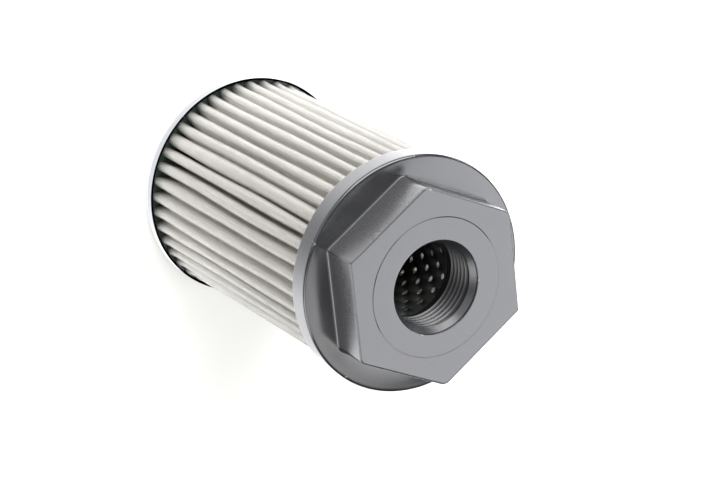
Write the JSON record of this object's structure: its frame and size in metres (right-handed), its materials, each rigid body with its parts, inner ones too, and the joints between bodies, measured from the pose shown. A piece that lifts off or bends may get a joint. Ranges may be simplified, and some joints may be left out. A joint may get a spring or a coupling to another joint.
{
  "type": "hydraulic suction strainer",
  "caption": "Hydraulic suction strainer with a hexagon head and female pipe thread, a pleated wire-cloth body on a perforated core, and a pressed end cap.",
  "frame": {"origin": "middle of the underside of the end cap, on the axis of the thread", "axes": "+Z along the axis from the end cap to the threaded head; +X towards a corner of the hexagon"},
  "size_m": [0.068, 0.068, 0.11],
  "materials": {
    "nylon": "satin moulded",
    "wire_cloth": "woven",
    "core_steel": "oiled",
    "plated_steel": "bright plated",
    "resin": "set resin"
  },
  "bodies": {
    "root": {"threaded_head": "nylon", "core_tube": "core_steel", "pleated_mesh": "wire_cloth", "end_cap": "plated_steel", "head_adhesive": "resin", "cap_adhesive": "resin"}
  },
  "joints": []
}
